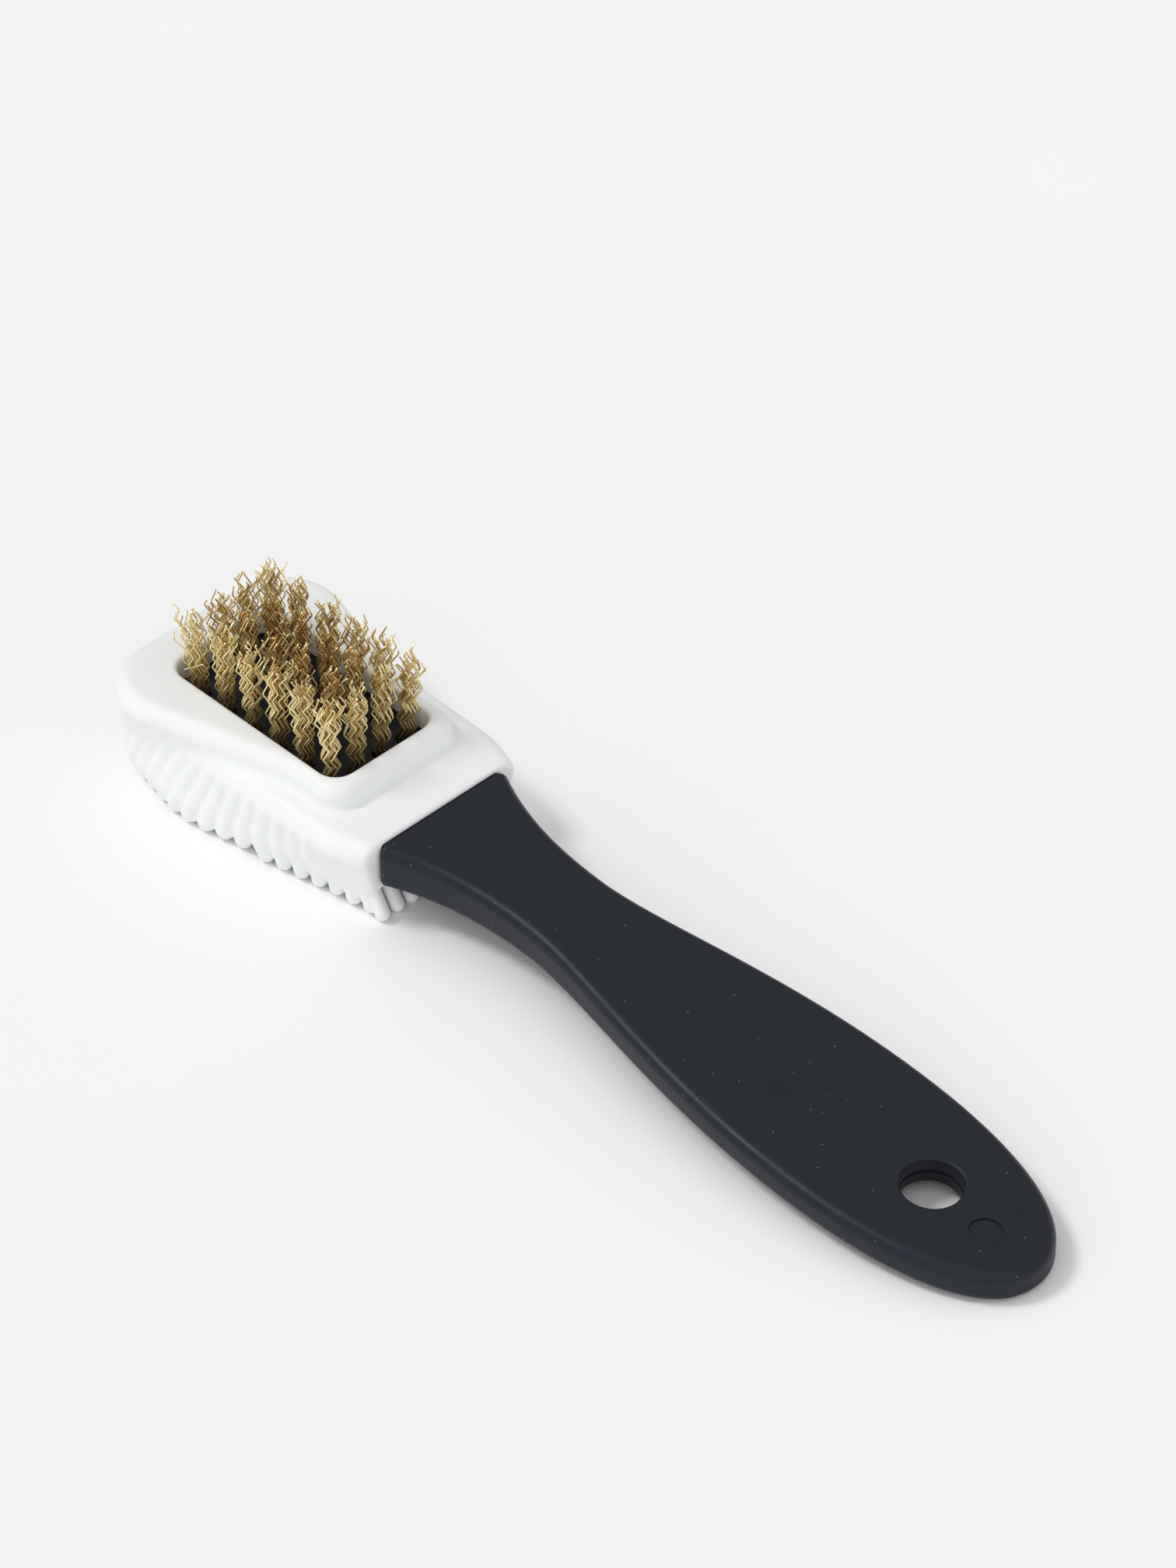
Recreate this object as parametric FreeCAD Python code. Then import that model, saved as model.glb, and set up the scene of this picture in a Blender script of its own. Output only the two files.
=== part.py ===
import FreeCAD, Part
import math
import os

Vec = FreeCAD.Vector

# Sizes in millimetres. The brush lies on the floor z = 0 as it is put down, with +X from the
# rubber head to the tail of the handle, and the origin under the middle of its length.
# Distances called "from mouth" run from the open end of the rubber boot, along the brush.

# Handle, one moulded piece with the tang that carries the bristles
handle_length = 113.0
mouth_half_width = 12.5
neck_half_width = 7.45
neck_from_mouth = 24.0
belly_half_width = 14.05
belly_from_mouth = 79.0
mouth_flare_slope = 0.51
neck_run = 12.0
belly_run = 26.0
tail_run = 22.5
tail_fullness = 8.2
mouth_top_height = 12.4
mouth_underside_height = 5.4
tail_top_height = 4.8
underside_bow = 1.0
handle_top_round = 1.65
handle_bottom_round = 1.4
hang_hole_radius = 4.3
hang_hole_from_tail = 19.2
hang_hole_edge = 0.5
pin_mark_radius = 2.4
pin_mark_depth = 0.25
pin_mark_from_tail = 9.6

# Tang inside the boot
tang_step = 0.5
tang_length = 49.0
tang_corner = 5.0

# Rubber boot
boot_length = 53.0
boot_fit = 0.1
boot_floor = 1.4
rim_height = 16.5
rim_round = 2.4
crease_height = 10.2
collar_round = 2.8
window_length = 34.5
window_from_mouth = 10.75
window_width = 19.4
window_corner = 3.0

# Boot frame round the window, seen from above at the start of its rounded rim
frame_far_half = 22.0
frame_far_draw = 0.8
frame_waist_half = 12.1
frame_waist_from_mouth = 17.5
frame_front_half = 12.4
frame_front_from_mouth = 8.0
# Corner radii left on the flat top of the frame, inside its rounded rim
frame_far_corner = 7.1
frame_waist_bend = 14.0
frame_front_corner = 1.6
# The frame's walls are drawn in at the far end and spread at the waist, down at their foot
frame_foot_height = 8.5
frame_foot_far_draw = 3.5
frame_foot_spread = 2.0

# Boot skirt along the crease, seen from above
skirt_mouth_half = 14.2
skirt_shoulder_half = 16.3
skirt_shoulder_from_mouth = 6.0
skirt_wide_half = 16.9
skirt_wide_from_mouth = 39.0
skirt_far_half = 16.2
# Corner radii left on the flat top of the skirt, inside its rounded edge
skirt_mouth_corner = 0.8
skirt_shoulder_bend = 3.0
skirt_wide_bend = 17.0
skirt_far_corner = 4.2

# The same outline where the fingertips stand on the floor
tips_mouth_half = 11.9
tips_shoulder_half = 12.9
tips_shoulder_from_mouth = 7.0
tips_wide_half = 18.4
tips_wide_from_mouth = 34.0
tips_far_half = 14.6
tips_far_draw = 2.6
tips_mouth_reach = 1.6

# Ribs round the boot, fingers under it and the row of fingers below its mouth
rib_count = 54
rib_top_radius = 0.7
rib_radius = 1.45
mouth_finger_count = 10
finger_pitch = 4.5
finger_spread = 0.1
finger_root_radius = 1.25
finger_tip_radius = 0.6
finger_tip_round = 0.9
finger_edge_room = 2.4
finger_sides = 6

# Bristle tufts and the metal anchors that hold them in the tang. The scatter makes the tips
# uneven: its turns, in radians, step from row to row, column to column and strand to strand.
tuft_rows = 4
tuft_columns = 6
tuft_edge_room = 2.8
tuft_end_room = 3.75
tuft_hole_radius = 1.3
tuft_hole_depth = 4.8
tuft_fit = 0.05
tuft_sides = 6
bristle_height = 14.8
bristle_scatter = 1.2
scatter_turns = (17.0, 5.0, 3.0)
bristle_thickness = 0.5
bristle_width = 0.9
bristle_crimp = 0.35
bristle_bends = 6
bristle_count = 3
bristle_root_circle = 0.55
bristle_tip_circle = 1.3
tuft_splay_long = 0.6
tuft_splay_wide = 0.5
anchor_height = 1.4
anchor_thickness = 0.4

# Places worked out from the sizes
mouth_x = (boot_length - handle_length) / 2.0
tail_x = mouth_x + handle_length
far_x = mouth_x - boot_length
tang_half_width = mouth_half_width - tang_step
tang_top = mouth_top_height - tang_step
tang_bottom = mouth_underside_height + tang_step
boot_underside = tang_bottom - boot_fit - boot_floor
finger_root_height = boot_underside + boot_floor / 2.0
window_middle = mouth_x - window_from_mouth - window_length / 2.0
tuft_row_pitch = (window_width - 2.0 * tuft_edge_room) / (tuft_rows - 1)
tuft_column_pitch = (window_length - 2.0 * tuft_end_room) / (tuft_columns - 1)
handle_slope = math.atan2(mouth_top_height - tail_top_height, handle_length)
handle_up = Vec(math.sin(handle_slope), 0, math.cos(handle_slope))
overshoot = 2.0 * rim_height
rounding_steps = 2


def quarter_round(radius, steps=rounding_steps):
    """Inset and rise of a rounded edge, from the upright wall to the flat face."""
    turns = [math.pi / 2.0 * k / steps for k in range(steps + 1)]
    return [(radius * (1.0 - math.cos(a)), radius * math.sin(a)) for a in turns]


def closed_solid(faces):
    """One solid from the faces that enclose it."""
    shell = Part.makeShell(faces)
    shell.sewShape()
    solid = Part.makeSolid(shell)
    if solid.Volume < 0:
        solid.reverse()
    return solid


def tapered_stack(sections, sides):
    """Solid with flat sides through level regular polygons, each given as (centre, radius)."""
    rings = []
    for centre, radius in sections:
        turns = [2.0 * math.pi * (k + 0.5) / sides for k in range(sides)]
        rings.append([centre + Vec(radius * math.cos(a), radius * math.sin(a), 0) for a in turns])
    faces = [Part.Face(Part.makePolygon(ring + ring[:1])) for ring in (rings[0], rings[-1])]
    for lower, upper in zip(rings, rings[1:]):
        for k in range(sides):
            after = (k + 1) % sides
            quad = [lower[k], lower[after], upper[after], upper[k], lower[k]]
            faces.append(Part.Face(Part.makePolygon(quad)))
    return closed_solid(faces)


def rounded_outline(half_points, half_radii, height, inset=0.0):
    """Closed level wire, mirrored about Y = 0, with its corners rounded by arcs.

    The half runs on the +Y side from the far end of the brush to its mouth. An inset moves the
    whole outline inwards, and its arcs with it.
    """
    corners = [Vec(x, y, height) for x, y in half_points]
    corners += [Vec(x, -y, height) for x, y in reversed(half_points)]
    radii = half_radii + half_radii[::-1]
    count = len(corners)
    arcs = []
    for index in range(count):
        corner = corners[index]
        before = (corners[index - 1] - corner).normalize()
        after = (corners[(index + 1) % count] - corner).normalize()
        half_angle = before.getAngle(after) / 2.0
        towards_arc = (before + after).normalize()
        bulges = before.cross(after).z > 0
        move = inset if bulges else -inset
        corner = corner + towards_arc * (move / math.sin(half_angle))
        radius = radii[index] - move
        reach = radius / math.tan(half_angle)
        middle = corner + towards_arc * (radius / math.sin(half_angle) - radius)
        arcs.append((corner + before * reach, middle, corner + after * reach))
    far_middle = (arcs[0][0] + arcs[-1][2]) / 2.0
    edges = [Part.makeLine(far_middle, arcs[0][0])]
    for index in range(count):
        start, middle, end = arcs[index]
        edges.append(Part.Arc(start, middle, end).toShape())
        goal = far_middle if index == count - 1 else arcs[index + 1][0]
        edges.append(Part.makeLine(end, goal))
    return Part.Wire(edges)


def handle_plan(side):
    """One side of the handle from above, as the poles of three cubic curves.

    They make the flared mouth down to the slim neck, the grip that swells to the belly, and the
    rounded tail.
    """
    mouth = Vec(mouth_x, side * mouth_half_width, 0)
    neck = Vec(mouth_x + neck_from_mouth, side * neck_half_width, 0)
    belly = Vec(mouth_x + belly_from_mouth, side * belly_half_width, 0)
    tip = Vec(tail_x, 0, 0)
    third = neck_from_mouth / 3.0
    flare = [mouth, mouth + Vec(third, -side * mouth_flare_slope * third, 0), neck - Vec(third, 0, 0), neck]
    grip = [neck, neck + Vec(neck_run, 0, 0), belly - Vec(belly_run, 0, 0), belly]
    tail = [belly, belly + Vec(tail_run, 0, 0), tip + Vec(0, side * tail_fullness, 0), tip]
    return [flare, grip, tail]


def inset_curve(poles, inset, side, height, slope):
    """A plan curve moved inwards by inset and lifted to the height given along the handle."""
    plan = Part.BezierCurve()
    plan.setPoles(poles)
    edge = plan.toShape()
    moved = []
    for at, end, handle in ((0.0, poles[0], poles[1]), (1.0, poles[3], poles[2])):
        way = edge.tangentAt(at)
        inward = Vec(way.y, -way.x, 0) * side
        bend = edge.curvatureAt(at)
        hollow = bend > 1e-9 and edge.centerOfCurvatureAt(at).sub(end).dot(inward) < 0
        shrink = 1.0 + bend * inset if hollow else 1.0 - bend * inset
        spot = end + inward * inset
        if end.x == mouth_x:
            spot = end - Vec(0, side * inset / way.x, 0)
        reach = (handle - end) * shrink
        spot.z = height(spot.x)
        moved.append((spot, spot + reach + Vec(0, 0, slope(spot.x) * reach.x)))
    curve = Part.BezierCurve()
    curve.setPoles([moved[0][0], moved[0][1], moved[1][1], moved[1][0]])
    return curve.toShape()


def handle_top(x):
    """Height of the flat, sloping top face."""
    return mouth_top_height - (x - mouth_x) * math.tan(handle_slope)


def handle_underside(x):
    """Height of the underside, which is bowed from the mouth to the foot of the tail."""
    share = min(1.0, (x - mouth_x) / (handle_length - handle_bottom_round))
    return mouth_underside_height * (1.0 - share) + 4.0 * underside_bow * share * (1.0 - share)


def underside_slope(x):
    """Slope of the underside, level where the tail stands on the floor."""
    if x > tail_x - 2.0 * handle_bottom_round:
        return 0.0
    step = handle_bottom_round / 2.0
    return (handle_underside(x + step) - handle_underside(x - step)) / (2.0 * step)


def handle_level(inset, height, slope):
    """Edges of both sides of the handle and of its mouth, round one level of its rounded edge."""
    left = [inset_curve(poles, inset, 1, height, slope) for poles in handle_plan(1)]
    right = [inset_curve(poles, inset, -1, height, slope) for poles in handle_plan(-1)]
    mouth = Part.makeLine(right[0].valueAt(0.0), left[0].valueAt(0.0))
    return left, right, mouth


def handle_body():
    """Handle with rounded edges, from the mouth of the boot to the tail."""
    levels = []
    for inset, rise in reversed(quarter_round(handle_bottom_round)):
        lift = handle_bottom_round - rise
        levels.append(handle_level(inset, lambda x: handle_underside(x) + lift, underside_slope))
    for inset, rise in quarter_round(handle_top_round):
        drop = handle_top_round - rise
        levels.append(handle_level(inset, lambda x: handle_top(x) - drop, lambda x: -math.tan(handle_slope)))
    faces = []
    for low, high in zip(levels, levels[1:]):
        for below, above in zip(low[0] + low[1] + [low[2]], high[0] + high[1] + [high[2]]):
            faces.append(Part.makeRuledSurface(below, above))
    left, right, mouth = levels[0]
    faces += [Part.makeRuledSurface(one, other) for one, other in zip(left, right)]
    left, right, mouth = levels[-1]
    faces.append(Part.Face(Part.Wire(Part.__sortEdges__(left + right + [mouth]))))
    return closed_solid(faces)


def upright_block(length, width, low, high, corner, corner_sides):
    """Box from the mouth towards the far end, with upright corners rounded at the named ends."""
    block = Part.makeBox(length, width, high - low, Vec(mouth_x - length, -width / 2.0, low))
    ends = {"far": mouth_x - length, "near": mouth_x}
    edges = []
    for edge in block.Edges:
        middle = edge.CenterOfMass
        upright = edge.BoundBox.ZLength > (high - low) / 2.0
        if upright and any(abs(middle.x - ends[side]) < corner / 2.0 for side in corner_sides):
            edges.append(edge)
    return block.makeFillet(corner, edges)


def make_tang(spare):
    """Block inside the boot; spare grows it on every side for the boot's cavity."""
    width = 2.0 * (tang_half_width + spare)
    return upright_block(
        tang_length + spare, width, tang_bottom - spare, tang_top + spare, tang_corner + spare, ["far"]
    )


def tuft_places():
    """Row, column and X, Y place of every tuft."""
    for row in range(tuft_rows):
        for column in range(tuft_columns):
            x = window_middle + (column - (tuft_columns - 1) / 2.0) * tuft_column_pitch
            y = (row - (tuft_rows - 1) / 2.0) * tuft_row_pitch
            yield row, column, x, y


def hang_hole(body):
    """Cutter for the hanging hole, square to the top face and bevelled at both ends."""
    x = tail_x - hang_hole_from_tail
    top = Vec(x, 0, handle_top(x))
    thickness = Part.makeLine(top, top - handle_up * overshoot).common(body).Length
    wide = hang_hole_radius + 2.0 * hang_hole_edge
    low = -thickness
    profile = [
        Vec(0, 0, low - hang_hole_edge),
        Vec(wide, 0, low - hang_hole_edge),
        Vec(hang_hole_radius, 0, low + hang_hole_edge),
        Vec(hang_hole_radius, 0, -hang_hole_edge),
        Vec(wide, 0, hang_hole_edge),
        Vec(0, 0, hang_hole_edge),
    ]
    cutter = Part.Face(Part.makePolygon(profile + profile[:1])).revolve(Vec(), Vec(0, 0, 1), 360)
    cutter.rotate(Vec(), Vec(0, 1, 0), math.degrees(handle_slope))
    cutter.translate(top)
    return cutter


def make_handle():
    """Moulded handle with its tang, hanging hole, pin mark and tuft holes."""
    body = handle_body().fuse(make_tang(0.0))
    mark_x = tail_x - pin_mark_from_tail
    mark_floor = Vec(mark_x, 0, handle_top(mark_x)) - handle_up * pin_mark_depth
    mark = Part.makeCylinder(pin_mark_radius, overshoot, mark_floor, handle_up)
    cuts = [hang_hole(body), mark]
    for row, column, x, y in tuft_places():
        floor = Vec(x, y, tang_top - tuft_hole_depth)
        above = Vec(x, y, tang_top + overshoot)
        cuts.append(tapered_stack([(floor, tuft_hole_radius), (above, tuft_hole_radius)], tuft_sides))
    return body.cut(cuts)


def skirt_outline(share, height, inset=0.0):
    """Boot outline below the rim: share 0 lies on the crease, share 1 on the fingertips.

    It runs past the mouth by half the rounded edge, which is cut off there to leave a soft lip.
    """
    def between(crease, tips):
        return crease + (tips - crease) * share
    half_points = [
        (far_x + between(0.0, tips_far_draw), between(skirt_far_half, tips_far_half)),
        (mouth_x - between(skirt_wide_from_mouth, tips_wide_from_mouth),
         between(skirt_wide_half, tips_wide_half)),
        (mouth_x - between(skirt_shoulder_from_mouth, tips_shoulder_from_mouth),
         between(skirt_shoulder_half, tips_shoulder_half)),
        (mouth_x + collar_round / 2.0, between(skirt_mouth_half, tips_mouth_half)),
    ]
    top_radii = [skirt_far_corner, skirt_wide_bend, skirt_shoulder_bend, skirt_mouth_corner]
    radii = [radius + collar_round for radius in top_radii]
    return rounded_outline(half_points, radii, height, inset)


def frame_outline(height, inset=0.0, foot=0.0):
    """Outline of the frame round the window; foot 1 is where its walls meet the skirt."""
    spread = frame_foot_spread * foot
    half_points = [
        (far_x + frame_far_draw, frame_far_half - frame_foot_far_draw * foot),
        (mouth_x - frame_waist_from_mouth, frame_waist_half + spread),
        (mouth_x - frame_front_from_mouth, frame_front_half + spread),
    ]
    top_radii = [frame_far_corner, frame_waist_bend, frame_front_corner]
    radii = [radius + rim_round for radius in top_radii]
    return rounded_outline(half_points, radii, height, inset)


def boot_form():
    """Outer form of the boot: skirt with a rounded top edge, and the frame that rises from it."""
    share = 1.0 - boot_underside / crease_height
    low = skirt_outline(share, boot_underside)
    collar = [skirt_outline(0.0, crease_height + up, inset) for inset, up in quarter_round(collar_round)]
    skirt = Part.makeLoft([low] + collar, True, True)
    rim_start = rim_height - rim_round
    rim = [frame_outline(rim_start + up, inset) for inset, up in quarter_round(rim_round)]
    foot = frame_outline(frame_foot_height, 0.0, 1.0)
    frame = Part.makeLoft([foot] + rim, True, True)
    return skirt.fuse(frame)


def boot_ribs():
    """Ribs that swell from the crease down and end as fingertips, round the sides and far end."""
    starts = skirt_outline(0.0, crease_height, rib_top_radius).discretize(Number=rib_count + 1)
    ends = skirt_outline(1.0, 0.0).discretize(Number=rib_count + 1)
    ribs = []
    for start, end in zip(starts[:-1], ends[:-1]):
        if end.x > mouth_x - finger_root_radius:
            continue
        knee = end + (start - end) * (boot_underside / crease_height)
        bend = end + (start - end) * (finger_tip_round / crease_height)
        sections = [
            (start, rib_top_radius),
            (knee, rib_radius),
            (bend, finger_root_radius),
            (end, finger_tip_radius),
        ]
        ribs.append(tapered_stack(sections, finger_sides))
    return ribs


def mouth_fingers():
    """Row of fingers under the mouth, which lean out below the handle."""
    fingers = []
    for k in range(mouth_finger_count):
        y = tips_mouth_half * (2.0 * k / (mouth_finger_count - 1) - 1.0)
        root = Vec(mouth_x - finger_root_radius, y * (1.0 - finger_spread), finger_root_height)
        tip = Vec(mouth_x + tips_mouth_reach, y, 0)
        bend = tip + (root - tip) * (finger_tip_round / root.z)
        sections = [(root, finger_root_radius), (bend, finger_root_radius), (tip, finger_tip_radius)]
        fingers.append(tapered_stack(sections, finger_sides))
    return fingers


def field_fingers():
    """Rows of fingers under the boot, leaning out from its middle."""
    edge = skirt_outline(1.0, 0.0)
    floor = Part.Face(edge)
    middle = Vec(mouth_x - boot_length / 2.0, 0, 0)
    rows = int(boot_length / finger_pitch)
    columns = int(2.0 * tips_wide_half / finger_pitch)
    fingers = []
    for row in range(rows + 1):
        for column in range(columns + 1):
            out = Vec((row - rows / 2.0) * finger_pitch, (column - columns / 2.0) * finger_pitch, 0)
            tip = middle + out
            inside = floor.isInside(tip, 0.01, True)
            if not inside or Part.Vertex(tip).distToShape(edge)[0] < finger_edge_room:
                continue
            root = middle + out * (1.0 - finger_spread) + Vec(0, 0, finger_root_height)
            fingers.append(tapered_stack([(root, finger_root_radius), (tip, finger_tip_radius)], finger_sides))
    return fingers


def make_boot():
    """Rubber boot: outer form, ribs and fingers, less the tang's cavity and the bristle window."""
    past_mouth = Part.makeBox(overshoot, 2.0 * overshoot, 2.0 * overshoot, Vec(mouth_x, -overshoot, 0))
    body = boot_form().fuse(boot_ribs()).cut(past_mouth)
    body = body.fuse(mouth_fingers() + field_fingers())
    window = upright_block(
        window_length, window_width, tang_top, tang_top + overshoot, window_corner, ["far", "near"]
    )
    window.translate(Vec(-window_from_mouth, 0, 0))
    return body.cut([make_tang(boot_fit), window])


def bristle(foot, tip, way):
    """One crimped strand, zigzagging in the upright plane that holds the given direction."""
    along = tip - foot
    left = []
    right = []
    for k in range(bristle_bends + 1):
        swing = 0.0 if k == 0 else bristle_crimp * (-1) ** k
        spot = foot + along * (k / bristle_bends)
        left.append(spot + way * (swing - bristle_width / 2.0))
        right.append(spot + way * (swing + bristle_width / 2.0))
    across = along.cross(way).normalize() * bristle_thickness
    outline = [point - across / 2.0 for point in left + right[::-1]]
    return Part.Face(Part.makePolygon(outline + outline[:1])).extrude(across)


def anchor_block(x, y):
    """Flat metal anchor across the bottom of a tuft hole."""
    length = 2.0 * (tuft_hole_radius * math.cos(math.pi / tuft_sides) - tuft_fit)
    low = Vec(x - length / 2.0, y - anchor_thickness / 2.0, tang_top - tuft_hole_depth)
    return Part.makeBox(length, anchor_thickness, anchor_height, low)


def make_tuft(row, column, x, y):
    """Tuft of crimped strands in one packed root, which is seated on its anchor."""
    top = Vec(x, y, tang_top)
    seat = top - Vec(0, 0, tuft_hole_depth - anchor_height)
    root_radius = tuft_hole_radius - tuft_fit
    root = tapered_stack([(seat, root_radius), (top, root_radius)], tuft_sides)
    lean = Vec(
        tuft_splay_long * (2.0 * column / (tuft_columns - 1) - 1.0),
        tuft_splay_wide * (2.0 * row / (tuft_rows - 1) - 1.0),
        0,
    )
    strands = []
    for k in range(bristle_count):
        turn = 2.0 * math.pi * (k + 0.5) / bristle_count
        out = Vec(math.cos(turn), math.sin(turn), 0)
        foot = top + out * bristle_root_circle - Vec(0, 0, bristle_thickness)
        turns = scatter_turns[0] * row + scatter_turns[1] * column + scatter_turns[2] * k
        uneven = bristle_scatter * math.sin(turns)
        tip = top + lean + out * bristle_tip_circle + Vec(0, 0, bristle_height + uneven)
        strands.append(bristle(foot, tip, Vec(-out.y, out.x, 0)))
    return root.fuse(strands)


def make_anchors():
    """All anchors, one flat piece in each tuft hole."""
    return Part.makeCompound([anchor_block(x, y) for row, column, x, y in tuft_places()])


os.makedirs("parts", exist_ok=True)
make_handle().exportStep("parts/handle.step")
make_boot().exportStep("parts/rubber_boot.step")
make_anchors().exportStep("parts/tuft_anchors.step")
for row, column, x, y in tuft_places():
    tuft = make_tuft(row, column, x, y)
    tuft.exportStep("parts/tuft_%d_%d.step" % (row + 1, column + 1))
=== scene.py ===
import math
import random

import bpy
import numpy as np
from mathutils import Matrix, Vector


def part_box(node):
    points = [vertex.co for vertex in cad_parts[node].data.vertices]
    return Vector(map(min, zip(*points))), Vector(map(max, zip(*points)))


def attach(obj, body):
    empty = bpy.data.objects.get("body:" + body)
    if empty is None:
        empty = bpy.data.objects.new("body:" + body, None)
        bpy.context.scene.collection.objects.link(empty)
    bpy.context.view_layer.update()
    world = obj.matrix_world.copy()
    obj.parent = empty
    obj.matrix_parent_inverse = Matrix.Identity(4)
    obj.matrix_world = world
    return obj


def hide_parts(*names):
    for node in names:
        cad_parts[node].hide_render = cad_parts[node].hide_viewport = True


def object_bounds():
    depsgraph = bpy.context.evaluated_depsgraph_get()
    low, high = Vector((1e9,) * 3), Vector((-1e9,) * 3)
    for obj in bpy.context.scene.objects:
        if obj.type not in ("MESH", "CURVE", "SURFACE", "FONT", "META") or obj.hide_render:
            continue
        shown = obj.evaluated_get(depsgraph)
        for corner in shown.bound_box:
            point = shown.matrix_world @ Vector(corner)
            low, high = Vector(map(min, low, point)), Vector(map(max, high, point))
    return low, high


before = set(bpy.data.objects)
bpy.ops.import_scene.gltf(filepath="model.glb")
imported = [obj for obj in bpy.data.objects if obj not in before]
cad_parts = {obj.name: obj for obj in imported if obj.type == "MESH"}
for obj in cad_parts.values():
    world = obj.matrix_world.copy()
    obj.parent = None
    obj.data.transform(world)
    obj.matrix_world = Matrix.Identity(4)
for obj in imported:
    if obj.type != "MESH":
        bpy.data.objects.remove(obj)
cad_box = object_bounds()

import openvdb
from mathutils import Matrix, Vector

# Sizes in metres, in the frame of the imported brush: +X from the rubber head to the tail, +Z up.
# "From mouth" is the distance from the open end of the rubber boot, where the handle comes out.
MM = 0.001
handle_low, handle_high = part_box("handle")
boot_low, boot_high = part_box("rubber_boot")

# Handle
handle_length = 113.0 * MM
mouth_half_width = 12.5 * MM
neck_half_width = 7.45 * MM
neck_from_mouth = 24.0 * MM
belly_half_width = handle_high.y
belly_from_mouth = 79.0 * MM
mouth_flare_slope = 0.51
mouth_corner_run = 1.3 * MM
mouth_end_round = 0.2
neck_run = 12.0 * MM
belly_run = 26.0 * MM
tail_run = 22.5 * MM
tail_fullness = 8.2 * MM
mouth_top_height = handle_high.z
mouth_underside_height = 5.4 * MM
tail_top_height = 4.8 * MM
underside_bow = 1.0 * MM
handle_top_round = 1.65 * MM
handle_bottom_round = 1.4 * MM
handle_sharp_angle = 35.0
hang_hole_radius = 4.3 * MM
hang_hole_from_tail = 19.2 * MM
hang_hole_edge = 0.5 * MM
hang_hole_groove = 0.2 * MM
hang_hole_groove_height = 0.7 * MM
pin_mark_radius = 2.4 * MM
pin_mark_depth = 0.25 * MM
pin_mark_from_tail = 8.6 * MM
pin_mark_side = -1.0 * MM
plan_steps = 26
round_steps = 7
cutter_sides = 96

# Tang inside the boot
tang_step = 0.5 * MM
tang_far_x = handle_low.x
tang_corner = 5.0 * MM
tang_root = 0.3 * MM
tang_mouth_corner = 3.0 * MM

# Boot
boot_fit = 0.1 * MM
boot_floor = 1.4 * MM
rim_height = boot_high.z
rim_round = 2.4 * MM
crease_height = 10.2 * MM
collar_round = 2.8 * MM
frame_foot_height = 8.5 * MM
frame_blend = 1.0 * MM
mouth_edge_blend = 0.5 * MM
window_length = 34.5 * MM
window_from_mouth = 10.75 * MM
window_width = 19.4 * MM
window_corner = 3.0 * MM
window_edge_blend = 0.9 * MM
hem_height = 2.4 * MM
hem_thickness = 1.8 * MM
hem_from_mouth = 2.0 * MM
corner_steps = 10
shortest_run = 1e-9
boot_voxel = 0.26 * MM
field_margin_cubes = 4.0
finger_margin_cubes = 3.0

# Corners of the boot's outlines from the far end to the mouth, in millimetres: from mouth, half width.
# The skirt runs on past the mouth, where the boot is then cut square.
skirt_crease_corners = [(52.7, 16.2), (39.0, 16.9), (6.0, 16.3), (-1.4, 14.2)]
skirt_tip_corners = [(50.4, 14.6), (34.0, 18.4), (7.0, 12.9), (-1.4, 11.9)]
skirt_corner_rounds = [7.0, 19.8, 5.8, 3.6]
frame_rim_corners = [(52.2, 22.0), (17.5, 12.1), (8.0, 12.4)]
frame_foot_corners = [(52.2, 18.5), (17.5, 14.1), (8.0, 14.4)]
frame_corner_rounds = [9.5, 16.4, 4.0]

# Ribs on the outside of the boot
ribs_on_side = 20
ribs_lifted = 4
rib_front_x = -39.5 * MM
rib_front_lift = 0.42
rib_fan = 0.1
rib_top_height = 10.4 * MM
rib_top_radius = 0.5 * MM
rib_middle_share = 0.45
rib_middle_radius = 1.2 * MM
rib_swell_share = 0.75
rib_swell_radius = 1.6 * MM
rib_foot_radius = 1.45 * MM
rib_blend = 1.0 * MM
rib_inset = 0.65 * MM

# Fingers under the boot
finger_pitch = 2.75 * MM
finger_radius = 1.12 * MM
finger_middle_from_mouth = 26.5 * MM
finger_rows_each_way = 9
finger_columns_each_way = 7
finger_root_share = 0.93
finger_edge_room = 2.4 * MM
finger_blend = 0.3 * MM
edge_finger_radius = 1.25 * MM
edge_finger_lean = 0.8 * MM
edge_finger_blend = 0.8 * MM
edge_finger_overlap = 3.5 * finger_pitch
mouth_finger_root = 2.4 * MM
mouth_finger_root_share = 0.95
mouth_finger_count = 10
mouth_finger_half = 12.2 * MM

# Tufts; a spread is the standard deviation of a random change
tuft_rows = 4
tuft_columns = 6
tuft_edge_room = 2.8 * MM
tuft_end_room = 3.75 * MM
tuft_hole_radius = 1.3 * MM
tuft_hole_depth = 4.8 * MM
tuft_hole_sides = 20
tuft_lean_along = 0.6 * MM
tuft_lean_across = 0.5 * MM
tuft_lean_spread = 0.25 * MM
tuft_seed_step = 100

# Wires of a tuft
wires_in_tuft = 24
wire_radius = 0.12 * MM
wire_sides = 6
wire_sunk = 1.5 * MM
wire_height = 14.5 * MM
wire_height_spread = 0.9 * MM
wire_top_room = 0.15 * MM
short_wire_chance = 0.08
short_wire_least = 0.7
short_wire_most = 0.92
golden_turn = math.pi * (3.0 - math.sqrt(5.0))
tuft_root_radius = 0.95 * MM
tuft_tip_radius = 1.7 * MM
tip_stray_spread = 0.4 * MM
tip_curl_spread = 0.55 * MM
tip_curl_power = 4
bent_wire_tuft = (0, 0)
bent_wire_foot = Vector((0.9, -0.2, -1.5)) * MM
bent_wire_knee = Vector((1.5, -0.3, 6.4)) * MM
bent_wire_end = Vector((-1.9, -1.9, -1.0)) * MM
bent_wire_shares = (0.1, 0.2, 1.0)

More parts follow.
